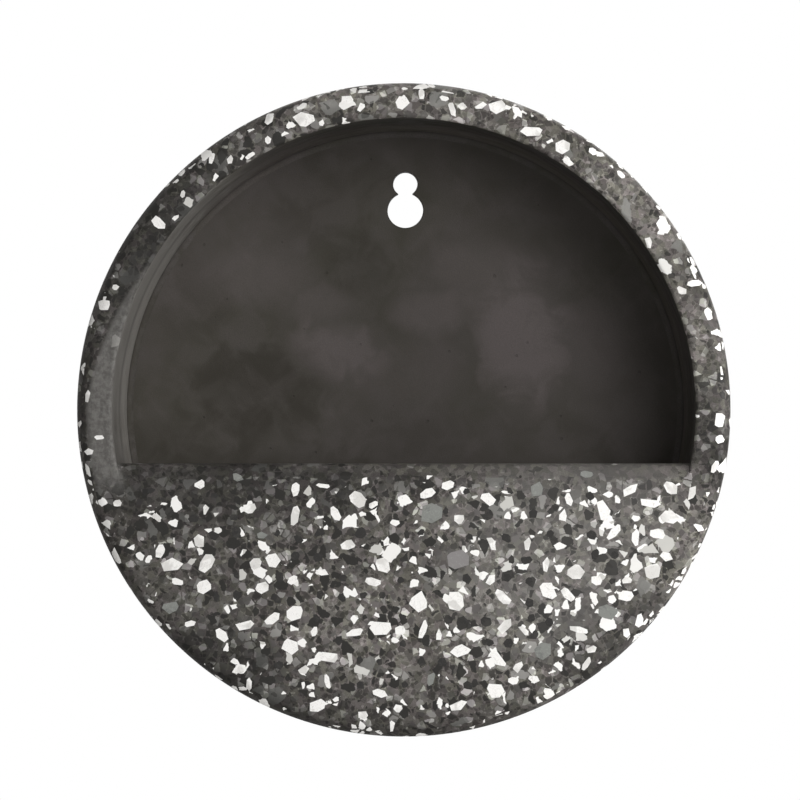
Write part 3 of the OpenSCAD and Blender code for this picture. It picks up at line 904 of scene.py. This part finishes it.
def makeFrontWall():
    # Sections across the slab, one for each share u of the half width: over the rounded top edge,
    # down the rear face to the arc, forward, and up the front face. A point of a face lies between
    # the top edge's line and the arc below it.
    s = slabShape
    u = np.linspace(-1, 1, s["columns"])[:, None]
    front, back = drumDepth - drumShape["grindDepth"], slabBack
    radius, backRadius = s["sillR"], s["sillBackR"]
    nFront, nFlat, nBack = s["topRows"]
    a, b = span(0, quarter, nFront), span(0, quarter, nBack)
    topZ = np.concatenate([sillZ - radius + radius * np.sin(a), np.full(nFlat, sillZ),
                           sillZ - backRadius + backRadius * np.cos(b)])
    topOut = np.concatenate([front - radius + radius * np.cos(a),
                             span(front - radius, back + backRadius, nFlat),
                             back + backRadius - backRadius * np.sin(b)])
    halfTop = np.sqrt(innerR ** 2 - topZ ** 2)
    x = [u * halfTop]
    z = [np.ones_like(u) * topZ]
    out = [np.ones_like(u) * topOut]
    backZ, faceZ = sillZ - backRadius, sillZ - radius
    halfBack, halfFace = np.sqrt(innerR ** 2 - backZ ** 2), np.sqrt(innerR ** 2 - faceZ ** 2)

    def between(half, fromZ, shares, distance):
        across = u * half * np.ones_like(shares)
        arc = -np.sqrt(np.maximum(innerR ** 2 - across ** 2, 0))
        x.append(across)
        z.append(fromZ + (arc - fromZ) * shares)
        out.append(np.full_like(across, distance))
    between(halfBack, backZ, span(0, 1, s["rearRows"]), back)
    between(halfBack, backZ, np.ones(1), back)
    between(halfFace, faceZ, 1 - span(0, 1, s["faceRows"]), front)
    points = fromFace(np.concatenate(x, 1), np.concatenate(z, 1), np.concatenate(out, 1))
    top = len(topZ)
    rows = np.arange(points.shape[1])
    normals = gridNormals(points, False)
    lumps = s["lump"] * np.abs(softNoise(points, s["lumpSize"], seed=31)) * ((rows > 2) & (rows < top - 2))
    points = points - normals * lumps[..., None]
    # terrazzo on the front and over half of the top edge's flat, plain cast concrete behind it
    slots = ((rows >= nFront + 3) & (rows <= top + s["rearRows"])).astype(int)
    caps = (lambda index: index[0, :top + 1], lambda index: index[-1, :top + 1][::-1])
    piece = gridPiece("frontWall", points, (terrazzoSkin, castSkin), slots, closedU=False, caps=caps)
    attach(piece, "root")
    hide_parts("front_wall")


plateShape = {
    "columns": 480,
    "arris": 0.5 * mm,           # softened edge of the keyhole
    "wave": 0.16 * mm,           # unevenness of the cast face
    "calm": (9 * mm, 22 * mm),   # from the keyhole's neck: where the unevenness sets in and is full
    # rings of points: over the face, close to the keyhole, each arris, through it, the rear face and
    # the plate's edge
    "rings": (46, 14, 5, 4, 16, 3),
    "closeShare": 0.85,          # how far the face's rings go before they close up
}


def keyholeReach(turn, centreZ):
    # how far a ray from (0, centreZ) runs before it leaves both of the keyhole's circles
    far = np.zeros_like(turn)
    for name in ("keyhole_seat", "keyhole_entry"):
        mount = mounts[name]
        gap = mount["pos_m"][2] - middle[2] - centreZ
        radius = mount["dims"]["r_mm"] * mm
        along = gap * np.sin(turn)
        inside = radius ** 2 - (gap * np.cos(turn)) ** 2
        leave = along + np.sqrt(np.maximum(inside, 0))
        far = np.maximum(far, np.where(inside > 0, leave, 0))
    return far


def makeBackPlate():
    # Rings that run from the drum's inside round to the keyhole's outline, through the plate and back
    # out over its rear face. Each ring is a share of the way between the two outlines.
    s = plateShape
    seat, entry = mounts["keyhole_seat"], mounts["keyhole_entry"]
    d = seat["pos_m"][2] - entry["pos_m"][2]
    r0, r1 = entry["dims"]["r_mm"] * mm, seat["dims"]["r_mm"] * mm
    neckZ = entry["pos_m"][2] - middle[2] + (d * d + r0 * r0 - r1 * r1) / (2 * d)
    turn = np.linspace(0, 2 * math.pi, s["columns"], endpoint=False)[:, None]
    rim = -neckZ * np.sin(turn) + np.sqrt(innerR ** 2 - (neckZ * np.cos(turn)) ** 2)
    hole = keyholeReach(turn, neckZ)
    arris = s["arris"]
    nFace, nClose, nArris, nHole, nRear, nEdge = s["rings"]
    faceEnd, holeEnd = nFace + nClose, nFace + nClose + nArris + nHole
    roll = span(0, quarter, nArris)
    far = s["closeShare"]
    share = np.concatenate([span(0, far, nFace), far + (1 - far) * np.sin(span(0, quarter, nClose))])
    frontReach = rim + (hole + arris - rim) * share
    rolled = hole + arris * (1 - np.sin(roll))
    wall = hole * np.ones(nHole)
    rearRolled = hole + arris * (1 - np.cos(roll))
    rearReach = hole + arris + (rim - hole - arris) * np.linspace(0, 1, nRear)
    sides = rim * np.ones(nEdge)
    reach = np.concatenate([frontReach, rolled, wall, rearRolled, rearReach, sides], 1)
    ones = np.ones_like(turn)
    out = np.concatenate([
        ones * np.full(faceEnd, plateDepth), ones * (plateDepth - arris * (1 - np.cos(roll))),
        ones * span(plateDepth - arris, arris, nHole), ones * (arris * (1 - np.sin(roll))),
        ones * np.zeros(nRear), ones * np.arange(1, nEdge + 1) / (nEdge + 1) * plateDepth], 1)
    x, z = reach * np.cos(turn), neckZ + reach * np.sin(turn)
    points = fromFace(x, z, out)
    fade = smooth(np.hypot(x, z - neckZ), *s["calm"])
    fade *= 1 - smooth(np.hypot(x, z), innerR - 3 * beadWidth, innerR - beadWidth)
    wave = castRelief(points, s["wave"]) * fade
    wave[:, faceEnd:] = 0
    points[..., 1] += np.abs(wave)
    slots = (np.arange(reach.shape[1]) >= holeEnd).astype(int)
    piece = gridPiece("backPlate", points, (plateSkin, rearSkin), slots)
    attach(piece, "root")
    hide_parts("back_plate")


beadShape = {
    "columns": 360,
    "edge": 0.03 * mm,           # thickness of the thin edges
    "rows": 12,                  # rows of points over the hollow
    "lump": 0.2 * mm,            # unevenness left by the finger that drew it
    "lumpSize": 7 * mm,
    "belowSill": 2 * mm,         # the front bead ends under the rounded rear corner of the sill
    "taper": 5 * mm,             # length over which it thins out there
    "thinnest": 0.12,            # its width at the very end, against the whole
}


def makeBead(name, node, atDepth, towardsFront, topZ=None):
    # A hollow quarter profile in the corner of the drum wall and a flat face, carried round the axis.
    # Given the height of a top edge, it ends there on both sides and thins out towards it.
    s = beadShape
    whole = topZ is None
    start = 0.0 if whole else math.pi - math.asin(topZ / innerR)
    end = 2 * math.pi if whole else 2 * math.pi + math.asin(topZ / innerR)
    turn = np.linspace(start, end, s["columns"], endpoint=not whole)[:, None]
    ones = np.ones_like(turn)
    if whole:
        width = beadWidth * ones
    else:
        below = smooth(topZ - innerR * np.sin(turn), 0, s["taper"])
        width = beadWidth * (s["thinnest"] + (1 - s["thinnest"]) * np.sqrt(below))
    curve = np.linspace(0, quarter, s["rows"])
    hollow = width - s["edge"]
    reach = np.concatenate([innerR - width + hollow * np.sin(curve), innerR * ones, innerR - width], 1)
    rise = np.concatenate([width - hollow * np.cos(curve), 0 * ones, 0 * ones], 1)
    out = atDepth + towardsFront * rise
    points = fromFace(reach * np.cos(turn), reach * np.sin(turn), out)
    lumps = s["lump"] * softNoise(points, s["lumpSize"], seed=41)
    lumps *= np.concatenate([np.sin(2 * curve), [0, 0]])
    towardsAxis = np.stack([-np.cos(turn) * ones, -towardsFront * ones, -np.sin(turn) * ones], -1)
    towardsAxis /= math.sqrt(2)
    points = points - towardsAxis * np.minimum(lumps, 0)[..., None]
    caps = () if whole else (lambda index: index[0], lambda index: index[-1][::-1])
    piece = gridPiece(name, points, (mortarSkin,), closedU=whole, caps=caps)
    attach(piece, "root")
    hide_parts(node)


makeDrumWall()
makeFrontWall()
makeBackPlate()
makeBead("rearFillet", "rear_fillet", plateDepth, 1)
makeBead("frontFillet", "front_fillet", slabBack, -1, sillZ - beadShape["belowSill"])
print("concrete made")

stoneSkins = {"marble_front": marbleSkin, "marble_rim": marbleSkin, "greenstone_front": greenstoneSkin,
              "basalt_front": basaltSkin}
for node, skin in stoneSkins.items():
    stones = frame["nodes"][node]
    stones.data.materials.clear()
    stones.data.materials.append(skin)
print("stones finished")


# Stage, light and camera

stage = {
    "drop": 0.32,                # floor below the drum's middle, in metres
    "size": 1.3,
    "clear": (0.2, 0.55),        # where the floor fades into the white background
    "paint": (0.86, 0.86, 0.86, 1),
    "ambient": 0.14,             # even light from all round
}


def seenPlainly(tree):
    # 1 for what the camera, a gloss or glass sees, and 0 for what only lights the object
    rays = addNode(tree, "ShaderNodeLightPath").outputs
    return calc(tree, "MAXIMUM", rays["Is Camera Ray"],
                calc(tree, "MAXIMUM", rays["Is Glossy Ray"], rays["Is Transmission Ray"]))


def makeFloor():
    mesh = bpy.data.meshes.new("floor")
    half = stage["size"] / 2
    z = middle[2] - stage["drop"]
    corners = [(-half, -half, z), (half, -half, z), (half, half, z), (-half, half, z)]
    mesh.from_pydata(corners, [], [(0, 1, 2, 3)])
    material = bpy.data.materials.new("paleFloor")
    tree = clearTree(material)
    point = addNode(tree, "ShaderNodeTexCoord").outputs["Object"]
    x, y, z = addNode(tree, "ShaderNodeSeparateXYZ", {0: point}).outputs
    flat = addNode(tree, "ShaderNodeCombineXYZ", {0: x, 1: y}).outputs[0]
    away = vectorCalc(tree, "LENGTH", {0: flat})["Value"]
    paint = addNode(tree, "ShaderNodeBsdfDiffuse", {"Color": stage["paint"]}).outputs[0]
    white = addNode(tree, "ShaderNodeEmission", {"Color": (1, 1, 1, 1), "Strength": 1.0}).outputs[0]
    fade = times(tree, ease(tree, away, *stage["clear"]), seenPlainly(tree))
    mixed = addNode(tree, "ShaderNodeMixShader", {0: fade, 1: paint, 2: white}).outputs[0]
    addNode(tree, "ShaderNodeOutputMaterial", {"Surface": mixed})
    mesh.materials.append(material)
    floor = addObject("floor", mesh)


def makeWorld():
    world = bpy.data.worlds.new("studio")
    bpy.context.scene.world = world
    tree = clearTree(world)
    glow = [addNode(tree, "ShaderNodeBackground", {"Color": (1, 1, 1, 1), "Strength": strength}).outputs[0]
            for strength in (stage["ambient"], 1.0)]
    mixed = addNode(tree, "ShaderNodeMixShader", {0: seenPlainly(tree), 1: glow[0], 2: glow[1]}).outputs[0]
    addNode(tree, "ShaderNodeOutputWorld", {"Surface": mixed})


faceMiddle = np.array([0, -drumDepth, middle[2]])


def addLamp(name, azimuth, elevation, distance, size, watts):
    # azimuth to the viewer's right and elevation up, in degrees, seen from the middle of the face
    a, e = math.radians(azimuth), math.radians(elevation)
    away = np.array([math.sin(a) * math.cos(e), -math.cos(a) * math.cos(e), math.sin(e)])
    light = bpy.data.lights.new(name, "AREA")
    light.shape = "DISK"
    light.size = size
    light.energy = watts
    lamp = addObject(name, light)
    lamp.location = faceMiddle + away * distance
    lamp.rotation_euler = Vector(away).to_track_quat("Z", "Y").to_euler()


lamps = [
    # name, azimuth, elevation, distance, size, watts
    ("keyLamp", 19, 9, 1.7, 0.75, 13.4),
    ("sideLamp", 70, 6, 0.5, 0.22, 2.0),
    ("topLamp", 5, 78, 1.0, 0.7, 3.4),
    ("fillLamp", -4, 0, 1.5, 0.9, 2.6),
    ("backLamp", 158, 28, 1.4, 0.9, 9.0),
]

view = {
    "distance": 1.42,            # camera to the front face
    "aside": 0.012,              # how far the camera stands to the right
    "drumPixels": 328.0,         # radius of the drum's front in the picture
    "centrePixel": (403.5, 409.9),
    "pictureSize": 800,
    "sensor": 36,                # width of the film, in mm
}


def makeCamera():
    camera = bpy.data.cameras.new("camera")
    holder = addObject("camera", camera)
    perPixel = outerR / view["drumPixels"]
    half = view["pictureSize"] / 2
    aim = faceMiddle + np.array([(half - view["centrePixel"][0]) * perPixel, 0,
                                 (view["centrePixel"][1] - half) * perPixel])
    place = aim + np.array([view["aside"], -view["distance"], 0])
    holder.location = place
    holder.rotation_euler = Vector(place - aim).to_track_quat("Z", "Y").to_euler()
    camera.sensor_width = view["sensor"]
    camera.lens = view["sensor"] * view["distance"] / (view["pictureSize"] * perPixel)
    camera.clip_start = 0.05
    bpy.context.scene.camera = holder


makeFloor()
makeWorld()
for lamp in lamps:
    addLamp(*lamp)
makeCamera()
bpy.context.scene.view_settings.view_transform = "Standard"
print("stage set")
